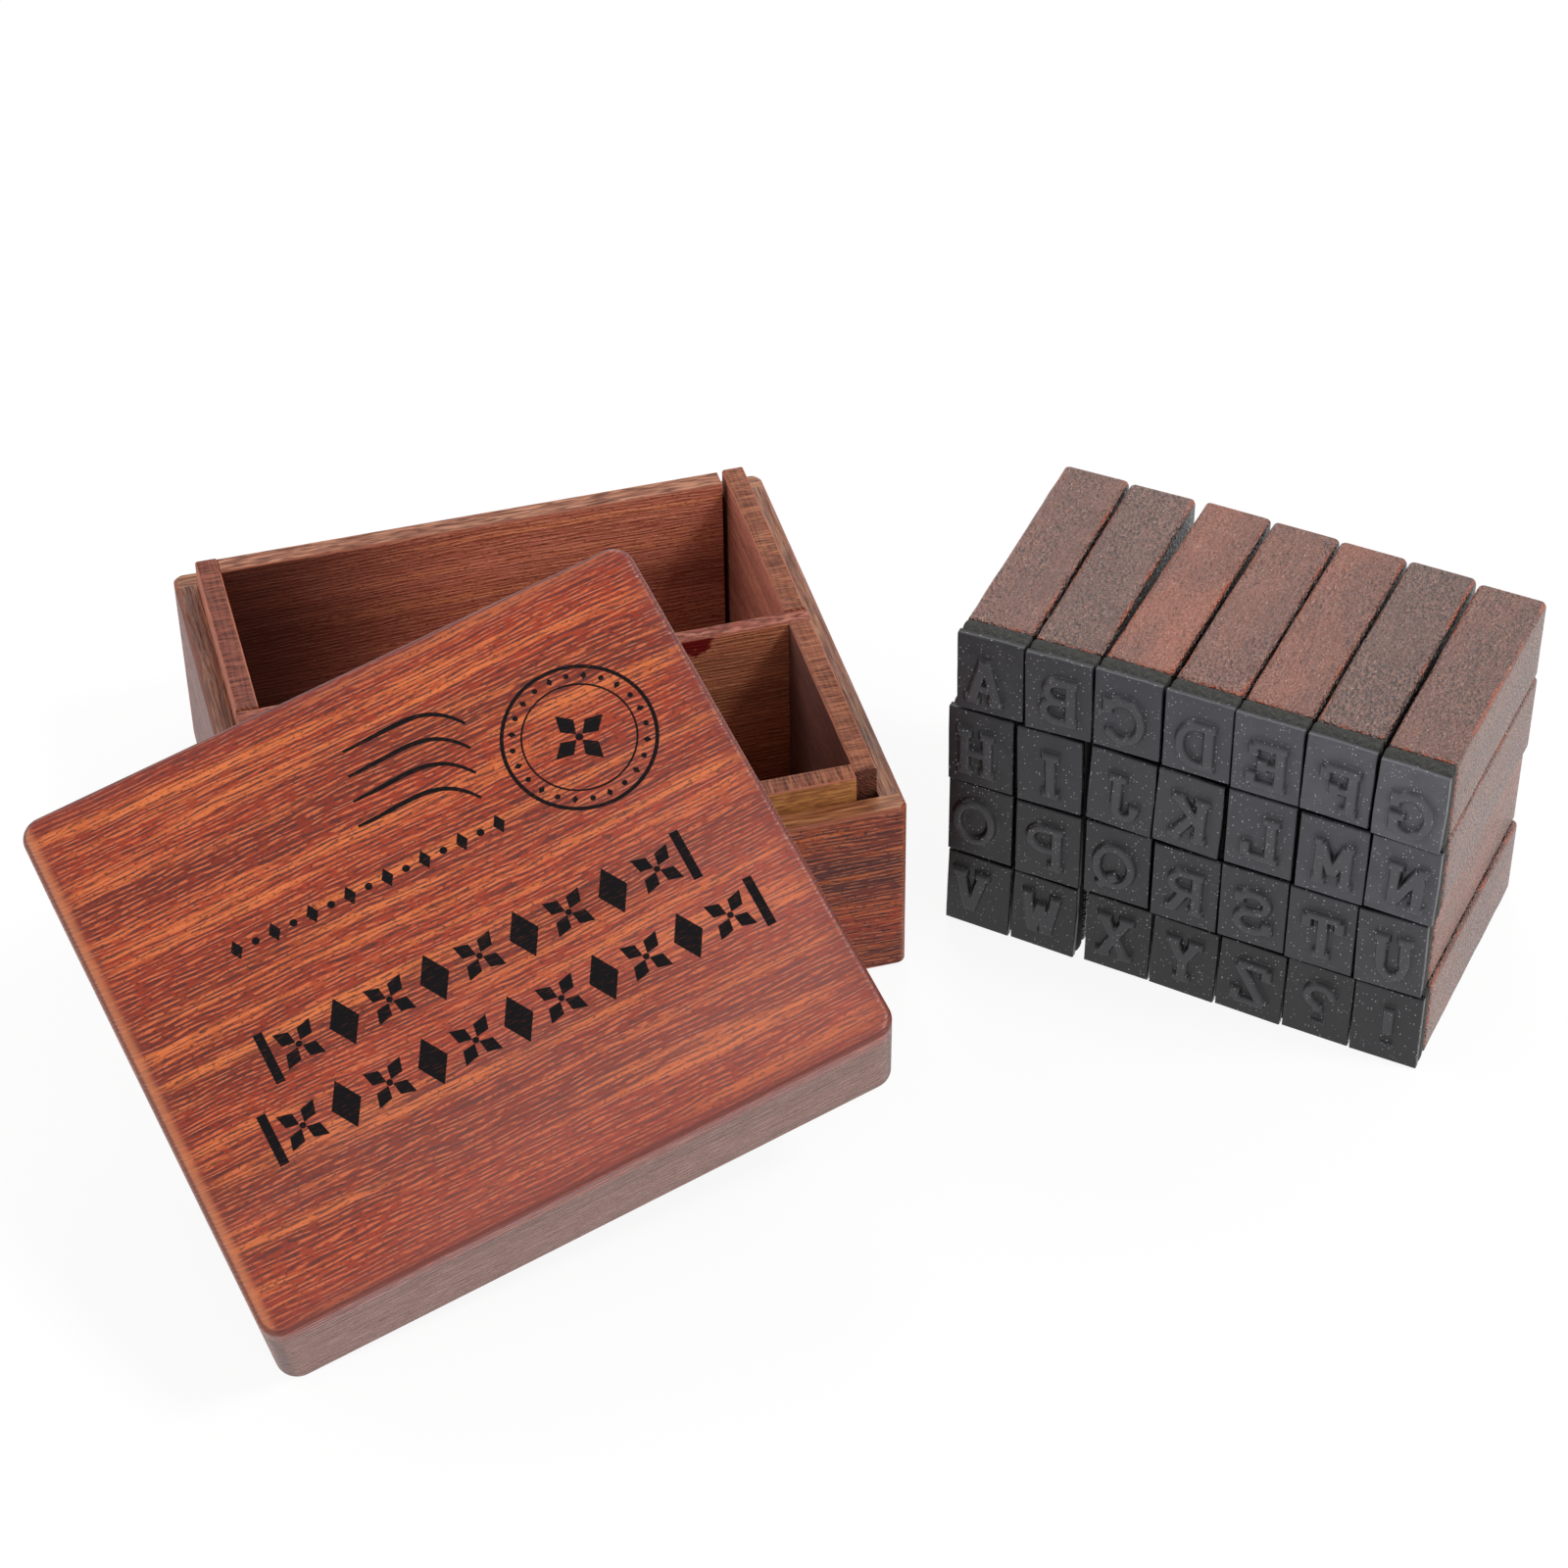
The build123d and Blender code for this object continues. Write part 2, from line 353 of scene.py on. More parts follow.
def box_boards():
    """Wood for the box's ten boards."""
    gold_top = (rgb(98, 54, 32), rgb(148, 92, 60), rgb(182, 128, 86), 0.16, 3.0)
    tan_top = (rgb(84, 48, 34), rgb(124, 78, 54), rgb(156, 110, 78), 0.16, 3.0)
    brown_top = (rgb(80, 40, 27), rgb(118, 68, 46), rgb(146, 94, 66), 0.16, 3.0)
    rough_top = (rgb(52, 22, 14), rgb(114, 62, 42), rgb(148, 92, 64), 3.2, 0.28)
    pale_top = (rgb(66, 34, 26), rgb(130, 82, 64), rgb(172, 122, 96), 0.25, 2.4)
    plum_top = (rgb(44, 16, 13), rgb(98, 47, 38), rgb(130, 72, 58), 3.2, 0.28)
    split_top = (rgb(74, 28, 24), rgb(124, 60, 48), rgb(160, 100, 84), 0.5, 1.6)
    wall = dict(dark=rgb(70, 25, 20), mid=rgb(138, 48, 28), light=rgb(182, 98, 58), streak=rgb(192, 92, 34),
                edge=rgb(140, 78, 52), streaks=0.95, grain=0.95, banding=0.85, gloss=0.3)
    # The left wall's wood is a darker copy of the other walls': painted shade.
    shaded = dict(dark=rgb(50, 15, 9), mid=rgb(106, 36, 20), light=rgb(138, 68, 42), streak=rgb(134, 60, 26),
                  edge=rgb(116, 64, 46), streaks=0.9, banding=0.8, gloss=0.3)
    # The inner boards' wood is far lighter than the walls': painted light for the inside of the box. Its nook value
    # gives painted shade.
    inner = dict(dark=rgb(136, 68, 50), mid=rgb(200, 118, 94), light=rgb(224, 152, 124), streak=rgb(222, 138, 96),
                 edge=rgb(140, 84, 64), streaks=0.8, grain=0.7, banding=0.7, rough=0.6, gloss=0.2, nook_shade=0.4)
    liner = dict(inner, extra=liner_ends)
    divider = dict(dark=rgb(116, 66, 44), mid=rgb(182, 110, 78), light=rgb(212, 152, 112), streak=rgb(166, 106, 72),
                   edge=rgb(120, 66, 50), grain=0.6, rough=0.6, gloss=0.2, nook_shade=0.2, top=split_top,
                   extra=divider_smear)
    dress((
        ("front_wall", (X, Z, Y), "box_wood", dict(wall, top=gold_top)),
        ("back_wall", (X, Z, Y), "box_wood", dict(wall, top=gold_top)),
        ("left_wall", (Y, Z, X), "box_wood", dict(shaded, top=brown_top)),
        ("right_wall", (Y, Z, X), "box_wood", dict(wall, top=tan_top)),
        ("front_liner", (X, Z, Y), "liner_wood", dict(liner, top=rough_top)),
        ("back_liner", (X, Z, Y), "liner_wood", dict(liner, top=pale_top)),
        ("left_liner", (Y, Z, X), "liner_wood", dict(liner, top=plum_top)),
        ("right_liner", (Y, Z, X), "liner_wood", dict(liner, top=rough_top)),
        ("bottom_panel", (X, Y, Z), "liner_wood", inner),
        ("divider", (X, Z, Y), "liner_wood", divider),
    ), first_seed=1)


def lid_boards():
    """Wood for the lid's five boards."""
    along, back, up = (column.copy() for column in lid_matrix().to_3x3().col)
    # The rails' wood is a greyer, paler copy of the top's: painted sheen.
    side = dict(dark=rgb(78, 44, 36), mid=rgb(130, 84, 72), light=rgb(160, 118, 106), streak=rgb(142, 94, 76),
                edge=rgb(84, 46, 38), grain=0.7)
    top = dict(dark=rgb(66, 15, 8), mid=rgb(146, 48, 23), light=rgb(208, 110, 68), streak=rgb(212, 112, 56),
               edge=rgb(88, 28, 18), streaks=0.85, grain=0.82, rough=0.38, depth=0.08, extra=lid_stain)
    dress((
        ("lid_top", (along, back, up), "lid_wood", top),
        ("lid_front_rail", (along, up, back), "lid_wood", side),
        ("lid_back_rail", (along, up, back), "lid_wood", side),
        ("lid_left_rail", (back, up, along), "lid_wood", side),
        ("lid_right_rail", (back, up, along), "lid_wood", side),
    ), first_seed=11)


def lid_stain(look, colour, parts):
    """The lid's stain: purplish round the rim, tan on the rubbed left edge, and paler towards the front right by
    painted sheen.
    """
    matrix = lid_matrix()
    axes = matrix.to_3x3().col
    along = look.calc("SUBTRACT", parts[0], matrix.translation.dot(axes[0]) / MM)
    back = look.calc("SUBTRACT", parts[1], matrix.translation.dot(axes[1]) / MM)
    low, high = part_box("front_wall")
    wide, deep = (high.x - low.x) / MM, (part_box("back_wall")[1].y - low.y) / MM
    cloud = look.noise(parts, (0.03, 0.06, 0.06), 8.0)
    # Painted sheen: the top paler towards the front right.
    pale = look.calc("ADD", look.calc("MULTIPLY_ADD", along, 0.3 / wide, 0.12), look.times(back, -0.5 / deep))
    pale = look.calc("ADD", pale, look.times(cloud, 0.4))
    colour = look.mix(look.step(pale, 0.15, 0.6, 0.0, 0.3), colour, rgb(160, 104, 96))
    rim = look.calc("MINIMUM", look.calc("MINIMUM", along, look.calc("SUBTRACT", wide, along)),
                    look.calc("MINIMUM", back, look.calc("SUBTRACT", deep, back)))
    rim = look.calc("ADD", rim, look.times(cloud, 3.0))
    colour = look.mix(look.step(rim, 6.5, 2.0, 0.0, 0.5), colour, rgb(112, 48, 42))
    rubbed = look.times(look.step(along, 2.6, 1.2, 0.0, 0.55), look.step(look.facing(-axes[0]), 0.97, 0.8))
    return look.mix(rubbed, colour, rgb(196, 120, 78))


def liner_ends(look, colour, parts):
    """The inner boards' raw dark ends and the lip's golden outer side; painted shadow and painted shade inside the
    box.
    """
    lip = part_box("front_liner")[0].y / MM
    reach = look.along(Y)
    forward = look.step(look.facing(Y), -0.8, -0.95)
    ends = look.noise(parts, (0.4, 1.6, 1.6), 4.0, detail=3.0)
    side_board = look.step(reach, lip + 0.6, lip + 0.9)
    raw = look.mix(look.step(ends, 0.35, 0.65), rgb(44, 20, 14), rgb(88, 46, 32))
    golden = look.mix(look.step(ends, 0.35, 0.65), rgb(132, 82, 40), rgb(172, 118, 62))
    front_zone = look.times(forward, look.step(reach, lip + 4.5, lip + 4.0))
    colour = look.mix(look.times(front_zone, 0.9), colour, look.mix(side_board, golden, raw))
    # Painted shadow on the back board's inner face, deepest at its left end.
    shadowed_back_face = look.times(forward, look.step(reach, 20.0, 30.0))
    left = look.step(look.along(X), 4.0, -42.0, 0.0, 0.88)
    colour = look.mix(look.times(shadowed_back_face, left), colour, rgb(46, 15, 11))
    # The faces towards the box's left are made greyer.
    inward = look.step(look.facing(X), -0.8, -0.95)
    colour = look.mix(look.times(inward, 0.28), colour, rgb(120, 92, 92))
    # Painted shade: the faces towards the left darker in the front compartment.
    front_painted_shade = look.times(inward, look.step(reach, 0.5, 0.0, 0.0, 0.75))
    return look.mix(front_painted_shade, colour, rgb(78, 56, 54))


def divider_smear(look, colour, parts):
    """A stain that ran over the divider's top edge, on its front."""
    ragged = look.noise(parts, (0.35, 0.5, 0.5), 3.0, detail=4.0, rough=0.6)
    ran = look.step(look.calc("MULTIPLY_ADD", ragged, 5.0, parts[1]), 39.4, 40.0)
    near = look.step(look.calc("MULTIPLY_ADD", ragged, -6.0, parts[0]), 29.5, 28.5)
    front = look.step(look.facing(Y), -0.6, -0.9)
    return look.mix(look.times(look.times(ran, near), front), colour, rgb(104, 14, 12))


def mesh_piece(name, vertices, faces, matrix, material, smooth=True):
    """A new object from millimetres in the piece's own frame."""
    mesh = bpy.data.meshes.new(name)
    mesh.from_pydata([tuple(c * MM for c in v) for v in vertices], [], faces)
    mesh.update()
    mesh.polygons.foreach_set("use_smooth", [smooth] * len(mesh.polygons))
    mesh.materials.append(material)
    piece = bpy.data.objects.new(name, mesh)
    bpy.context.scene.collection.objects.link(piece)
    piece.matrix_world = matrix
    return piece


def ring_of(half_x, half_z, radius, segments):
    """Points round a rectangle with rounded corners, counter-clockwise seen from the front."""
    points = []
    for corner, (side_x, side_z) in enumerate(((1, 1), (-1, 1), (-1, -1), (1, -1))):
        for step in range(segments + 1):
            angle = math.radians(90 * (corner + step / segments))
            points.append((side_x * (half_x - radius) + radius * math.cos(angle),
                           side_z * (half_z - radius) + radius * math.sin(angle)))
    return points


def lofted(name, rings, matrix, material):
    """A closed solid through rings of points, each (y, points), from the front to the back."""
    count = len(rings[0][1])
    vertices = [(x, y, z) for y, points in rings for x, z in points]
    faces = []
    for level in range(len(rings) - 1):
        for i in range(count):
            j = (i + 1) % count
            faces.append((level * count + i, (level + 1) * count + i, (level + 1) * count + j, level * count + j))
    faces.append(tuple(range(count)))
    faces.append(tuple(reversed(range((len(rings) - 1) * count, len(rings) * count))))
    piece = mesh_piece(name, vertices, faces, matrix, material)
    piece.data.set_sharp_from_angle(angle=math.radians(40))
    return piece


def block_piece(name, size, start, matrix, material, chance):
    """The wooden block: rounded long edges and ends, worn a little unevenly."""
    width, length, height = size
    rounding = [(0.0, 1.0), (0.3, 0.45), (0.7, 0.12), (1.0, 0.0)]
    places = [(start + BLOCK_END * a, BLOCK_END * b) for a, b in rounding]
    places += [(start + y, 0.0) for y in np.linspace(BLOCK_END, length - BLOCK_END, BLOCK_RINGS)[1:-1]]
    places += [(start + length - BLOCK_END * a, BLOCK_END * b) for a, b in reversed(rounding)]
    rings = []
    for y, inset in places:
        worn = inset + chance.uniform(0.0, 0.05)
        radius = max(BLOCK_EDGE + chance.uniform(-0.18, 0.12) - 0.6 * inset, 0.3)
        rings.append((y, ring_of(width / 2 - worn, height / 2 - worn * 0.8, radius, 4)))
    return lofted(name, rings, matrix, material)


def cushion_piece(name, size, start, matrix, material, chance):
    """The foam cushion: squeezed a little at both glued faces and fuller between them."""
    width, length, height = size
    rings = []
    for share, squeeze in ((0.0, 0.24), (0.12, 0.12), (0.35, 0.02), (0.6, 0.0), (0.85, 0.07), (1.0, 0.2)):
        inset = CUSHION_INSET + squeeze + chance.uniform(0.0, 0.04)
        rings.append((start + share * length, ring_of(width / 2 - inset, height / 2 - inset, CUSHION_EDGE, 3)))
    return lofted(name, rings, matrix, material)


# The characters, as they read on paper, on a grid ten units wide and high from the lower left. A stroke of four
# numbers is a straight bar between two points. One of six is an arc: centre, half width, half height, and the
# first and last angle in degrees.
FOOT, HEAD = (0.2, 0, 3.8, 0), (0.2, 10, 3.8, 10)
RIGHT_FOOT, RIGHT_HEAD = (6.2, 0, 9.8, 0), (6.2, 10, 9.8, 10)
MIDDLE_FOOT = (2.8, 0, 7.2, 0)
STEM, MIDDLE = (2, 0, 2, 10), (5, 0, 5, 10)
ROUND = (5, 5, 4.6, 5, 0, 360)
SPINE = [STEM, (0.4, 10, 5.2, 10)]
CHARACTERS = {
    "a": [(4.7, 10, 1.7, 0), (5.1, 10, 8.3, 0), (3, 3.4, 7, 3.4), FOOT, RIGHT_FOOT],
    "b": [*SPINE, (0.4, 0, 5.4, 0), (2, 5.2, 5.2, 5.2), (5.2, 7.6, 2.9, 2.4, -90, 90), (5.4, 2.6, 3.6, 2.6, -90, 90)],
    "c": [(5.2, 5, 4.6, 5, 42, 318), (9.2, 6.6, 9.2, 10)],
    "d": [*SPINE, (0.4, 0, 5.2, 0), (5, 5, 4.4, 5, -90, 90)],
    "e": [*SPINE, (0.4, 0, 9.2, 0), (5, 10, 8.8, 10), (8.8, 10, 8.8, 7.4), (9.2, 0, 9.2, 2.8), (2, 5, 6.4, 5),
          (6.4, 3.7, 6.4, 6.3)],
    "f": [*SPINE, (5, 10, 9, 10), (9, 10, 9, 7.2), (2, 5, 6.4, 5), (6.4, 3.7, 6.4, 6.3), (0.4, 0, 4.6, 0)],
    "g": [(5, 5, 4.6, 5, 42, 318), (9, 6.8, 9, 10), (8.6, 0.6, 8.6, 4.2), (6.2, 4.2, 10, 4.2)],
    "h": [STEM, (8, 0, 8, 10), (2, 5, 8, 5), FOOT, HEAD, RIGHT_FOOT, RIGHT_HEAD],
    "i": [MIDDLE, MIDDLE_FOOT, (2.8, 10, 7.2, 10)],
    "j": [(6.2, 10, 6.2, 2.6), (3.8, 2.6, 2.4, 2.6, -180, 0), (1.4, 2.4, 1.4, 3.6), (4, 10, 8.4, 10)],
    "k": [STEM, (2.2, 4.0, 8, 10), (4.0, 5.8, 8.2, 0), FOOT, HEAD, (6.4, 10, 9.8, 10), (6.6, 0, 10, 0)],
    "l": [(2.6, 0, 2.6, 10), (0.6, 10, 4.8, 10), (0.6, 0, 9, 0), (9, 0, 9, 3.4)],
    "m": [(1.6, 0, 1.6, 10), (8.4, 0, 8.4, 10), (1.6, 10, 5, 2.4), (8.4, 10, 5, 2.4), (0, 0, 3.3, 0),
          (6.7, 0, 10, 0), (0, 10, 2, 10), (8, 10, 10, 10)],
    "n": [STEM, (8, 0, 8, 10), (2, 10, 8, 0), FOOT, (0.2, 10, 2.4, 10), RIGHT_HEAD],
    "o": [ROUND],
    "p": [*SPINE, (2, 4.4, 5.4, 4.4), (5.2, 7.2, 3.8, 2.8, -90, 90), (0.4, 0, 4.2, 0)],
    "q": [ROUND, (4.0, 2.4, 6.2, 1.4), (6.2, 1.4, 8.8, -1.0)],
    "r": [*SPINE, (2, 4.8, 5.4, 4.8), (5.2, 7.4, 3.4, 2.6, -90, 90), (5.2, 4.8, 8.2, 0), (7.4, 0, 10, 0), FOOT],
    "s": [(5, 7.5, 3.6, 2.5, 20, 262), (5, 2.5, 3.9, 2.5, -160, 90), (8.7, 7.4, 8.7, 10), (1.1, 0, 1.1, 2.8)],
    "t": [MIDDLE, (0.8, 10, 9.2, 10), (0.8, 10, 0.8, 7.0), (9.2, 10, 9.2, 7.0), MIDDLE_FOOT],
    "u": [(2, 3.4, 2, 10), (8, 3.4, 8, 10), (5, 3.4, 3, 3.4, 180, 360), HEAD, RIGHT_HEAD],
    "v": [(1.9, 10, 4.9, 0), (8.1, 10, 5.1, 0), HEAD, RIGHT_HEAD],
    "w": [(1.2, 10, 3.2, 0), (3.2, 0, 5, 8), (5, 8, 6.8, 0), (6.8, 0, 8.8, 10), (0, 10, 2.6, 10), (7.4, 10, 10, 10)],
    "x": [(2, 10, 8, 0), (8, 10, 2, 0), FOOT, HEAD, RIGHT_FOOT, RIGHT_HEAD],
    "y": [(1.9, 10, 5, 4.8), (8.1, 10, 5, 4.8), (5, 0, 5, 4.8), HEAD, RIGHT_HEAD, MIDDLE_FOOT],
    "z": [(1.2, 10, 8.8, 10), (8.6, 10, 1.4, 0), (1.2, 0, 8.8, 0), (1.2, 10, 1.2, 7.2), (8.8, 0, 8.8, 2.8)],
    "question": [(4.8, 7.4, 3.2, 2.6, -70, 165), (5.2, 5.0, 5.0, 3.2), (5, 0, 5, 0.3)],
    "exclamation": [(5, 3.4, 5, 10), (5, 0, 5, 0.3)],
}

# How each die was glued on: right and up in millimetres, and turned in degrees, and then how far right and up
# its character sits on it.
DIE_LAY = {
    "a": (-0.05, 0.12, 1.0, -0.8, -1.0), "b": (0.0, 0.15, 1.8, 0.3, -0.6), "c": (0.0, 0.12, 0.7, -0.4, -1.0),
    "d": (0.0, 0.15, 0.2, 0.1, -1.2), "e": (0.0, 0.12, 0.3, 0.4, -1.0), "f": (0.0, 0.1, -1.5, 0.6, -1.2),
    "g": (0.0, 0.12, -2.4, 0.3, -1.4), "h": (-0.1, 0.05, 1.0, -0.6, -0.6), "i": (0.0, 0.1, 1.8, 0.4, -0.6),
    "j": (0.0, 0.0, -2.4, 0.2, -0.8), "k": (0.05, 0.0, -2.4, 0.3, -0.5), "l": (0.0, 0.1, 0.0, 0.4, -0.3),
    "m": (0.0, 0.1, -0.4, 0.4, -0.4), "n": (0.0, 0.1, -1.6, 0.8, -0.8), "o": (-0.05, 0.1, 0.0, -0.9, 0.0),
    "p": (0.0, 0.0, 0.5, -0.2, -0.2), "q": (0.0, 0.1, 0.3, -0.4, -0.2), "r": (0.0, 0.0, -0.3, 0.2, -0.3),
    "s": (0.0, 0.1, 0.2, 0.2, -0.3), "t": (0.0, 0.0, 0.0, 0.4, -0.5), "u": (0.0, 0.05, 1.2, 0.6, -0.4),
    "v": (0.0, 0.1, -1.5, -1.2, 0.2), "w": (0.0, 0.0, -1.8, -0.4, 0.2), "x": (0.0, 0.1, -0.9, -0.4, 0.2),
    "y": (0.0, 0.0, -1.8, 0.0, 0.2), "z": (0.0, 0.05, -2.0, 0.2, -0.2), "question": (0.0, 0.05, -1.0, 0.2, 0.0),
    "exclamation": (0.0, 0.1, 0.0, 0.4, 0.0),
}


def bar_distance(px, pz, x0, z0, x1, z1, thickness):
    """Distance to a straight stroke with square ends."""
    length = max(math.hypot(x1 - x0, z1 - z0), 0.01)
    ux, uz = (x1 - x0) / length, (z1 - z0) / length
    along = (px - (x0 + x1) / 2) * ux + (pz - (z0 + z1) / 2) * uz
    across = -(px - (x0 + x1) / 2) * uz + (pz - (z0 + z1) / 2) * ux
    dx = np.abs(along) - length / 2 - 0.12
    dz = np.abs(across) - thickness / 2
    return np.hypot(np.maximum(dx, 0), np.maximum(dz, 0)) + np.minimum(np.maximum(dx, dz), 0)


def arc_distance(px, pz, cx, cz, rx, rz, first, last, thickness):
    """Distance to a curved stroke, through short straight ones."""
    angles = np.radians(np.linspace(first, last, max(int(abs(last - first) / 9), 6)))
    xs, zs = cx + rx * np.cos(angles), cz + rz * np.sin(angles)
    nearest = np.full(px.shape, 1e9)
    for i in range(len(xs) - 1):
        ex, ez = xs[i + 1] - xs[i], zs[i + 1] - zs[i]
        t = np.clip(((px - xs[i]) * ex + (pz - zs[i]) * ez) / (ex * ex + ez * ez), 0, 1)
        nearest = np.minimum(nearest, np.hypot(px - xs[i] - t * ex, pz - zs[i] - t * ez))
    return nearest - thickness / 2


def character_distance(px, pz, strokes):
    """Distance to a whole character, centred on zero, as it reads on paper."""
    def across(x):
        return (x / 10 - 0.5) * (LETTER_WIDTH - STEM_MM)

    def up(z):
        return (z / 10 - 0.5) * (LETTER_HEIGHT - BAR_MM)

    nearest = np.full(px.shape, 1e9)
    for stroke in strokes:
        if len(stroke) == 4:
            x0, z0, x1, z1 = stroke
            thickness = BAR_MM if z0 == z1 else STEM_MM
            found = bar_distance(px, pz, across(x0), up(z0), across(x1), up(z1), thickness)
        else:
            cx, cz, rx, rz, first, last = stroke
            half_x, half_z = rx / 10 * (LETTER_WIDTH - STEM_MM), rz / 10 * (LETTER_HEIGHT - BAR_MM)
            found = arc_distance(px, pz, across(cx), up(cz), half_x, half_z, first, last, ARC_MM)
        nearest = np.minimum(nearest, found)
    return nearest


def die_surface(key, px, pz, half_x, half_z, start):
    """Where the die's surface lies at each point: sunk at its edges and raised at its character."""
    letter_right, letter_up = DIE_LAY[key][3:]
    distance = character_distance(letter_right - px, pz - letter_up, CHARACTERS[key])
    share = np.clip((0.5 * LETTER_SLOPE - distance) / LETTER_SLOPE, 0, 1)
    rise = LETTER_RISE * (0.75 * share + 0.25 * share * share * (3 - 2 * share))
    border = np.minimum(half_x - np.abs(px), half_z - np.abs(pz))
    inside = np.clip(1 - border / DIE_EDGE, 0, 1)
    sunk = DIE_EDGE * (1 - np.sqrt(np.maximum(1 - inside * inside, 0)))
    return start + sunk - rise


def die_piece(name, key, size, start, matrix, material):
    """The rubber die: a plate with rounded edges and its mirrored character standing out of it."""
    width, length, height = size
    half_x, half_z = width / 2 - DIE_SIDE_INSET, height / 2 - DIE_END_INSET
    right, up, turn = DIE_LAY[key][:3]
    columns, rows = int(2 * half_x / GRID_MM), int(2 * half_z / GRID_MM)
    px, pz = np.meshgrid(np.linspace(-half_x, half_x, columns), np.linspace(-half_z, half_z, rows))
    depth = die_surface(key, px, pz, half_x, half_z, start)
    cos, sin = math.cos(math.radians(turn)), math.sin(math.radians(turn))
    wx = np.clip(px * cos - pz * sin + right, -width / 2, width / 2)
    wz = np.clip(px * sin + pz * cos + up, -height / 2, height / 2)
    vertices = [(wx[r, c], depth[r, c], wz[r, c]) for r in range(rows) for c in range(columns)]
    faces = [(r * columns + c, r * columns + c + 1, (r + 1) * columns + c + 1, (r + 1) * columns + c)
             for r in range(rows - 1) for c in range(columns - 1)]
    rim = list(range(columns)) + [r * columns + columns - 1 for r in range(1, rows)]
    rim += [(rows - 1) * columns + c for c in range(columns - 2, -1, -1)]
    rim += [r * columns for r in range(rows - 2, 0, -1)]
    first, count = len(vertices), len(rim)
    vertices += [(vertices[i][0], start + length, vertices[i][2]) for i in rim]
    for i in range(count):
        j = (i + 1) % count
        faces.append((rim[i], first + i, first + j, rim[j]))
    faces.append(tuple(first + i for i in reversed(range(count))))
    piece = mesh_piece(name, vertices, faces, matrix, material)
    thin_out(piece, KEEP_FACES)
    return piece


def thin_out(piece, keep):
    """Drops the faces that the flat parts don't need, and keeps those parts flat in shading."""
    fewer = piece.modifiers.new("fewer", "DECIMATE")
    fewer.ratio = keep
    even = piece.modifiers.new("even", "WEIGHTED_NORMAL")
    even.weight = 80
    graph = bpy.context.evaluated_depsgraph_get()
    thinned = bpy.data.meshes.new_from_object(piece.evaluated_get(graph))
    old = piece.data
    piece.modifiers.clear()
    piece.data = thinned
    bpy.data.meshes.remove(old)


def block_wood():
    """Brown lacquer with an orange-peel skin, painted light and shade on its bumps, thin and reddish where the edges
    are rubbed, painted shade in the gaps.
    """
    look = Look("block_lacquer")
    parts = look.parts((Y, X, Z))
    tone = look.tagged("tone")
    parts[0] = look.calc("MULTIPLY_ADD", look.tagged("seed"), BLOCK_SHIFT, parts[0])
    fibres = look.noise(parts, (0.22, 2.4, 2.4), detail=3.0, rough=0.6)
    bands = look.noise(parts, (0.035, 0.12, 0.12))
    colour = look.mix(tone, rgb(97, 71, 63), rgb(146, 83, 62))
    colour = look.mix(look.step(bands, 0.35, 0.65, 0.0, 0.5), colour, rgb(84, 56, 50))
    colour = look.mix(look.step(fibres, 0.5, 0.7, 0.0, 0.3), colour, rgb(160, 100, 74))
    colour = look.mix(look.step(fibres, 0.48, 0.3, 0.0, 0.4), colour, rgb(60, 32, 26))
    peel = look.noise(parts, (1.5, 2.1, 2.1), detail=1.0)
    beside = look.noise(parts, (1.5, 2.1, 2.1), 0.11, detail=1.0)
    coarse = look.noise(parts, (0.07, 0.2, 0.2), 11.0, detail=1.0)
    painted_peel_light = look.times(look.calc("SUBTRACT", peel, beside), look.step(coarse, 0.38, 0.6, 0.35, 1.0))
    painted_peel_light = look.times(painted_peel_light, look.calc("MULTIPLY_ADD", tone, -0.75, 1.1))
    # Painted light and shade on the orange-peel bumps: darker where they slope one way, lighter where they slope the
    # other.
    colour = look.mix(look.step(painted_peel_light, -0.02, -0.1, 0.0, 0.7), colour, rgb(36, 20, 17))
    colour = look.mix(look.step(painted_peel_light, 0.03, 0.12, 0.0, 0.3), colour, rgb(168, 122, 106))
    rub = look.noise(parts, (0.12, 0.5, 0.5), 5.0, detail=3.0)
    worn = look.times(edge_of(look, (X, Y, Z)), look.step(rub, 0.46, 0.6, 0.0, 0.8))
    colour = look.mix(worn, colour, rgb(160, 72, 36))
    # Painted shade in the gaps between the stamps, as far as the ambient occlusion reaches.
    colour = look.mix(look.step(look.open_within(GAP_MM), 0.85, 0.5, 0.0, 0.95), colour, rgb(14, 7, 6))
    return look.paint(colour, look.step(peel, 0.3, 0.7, 0.36, 0.24), peel, 1.0, gloss=0.75)


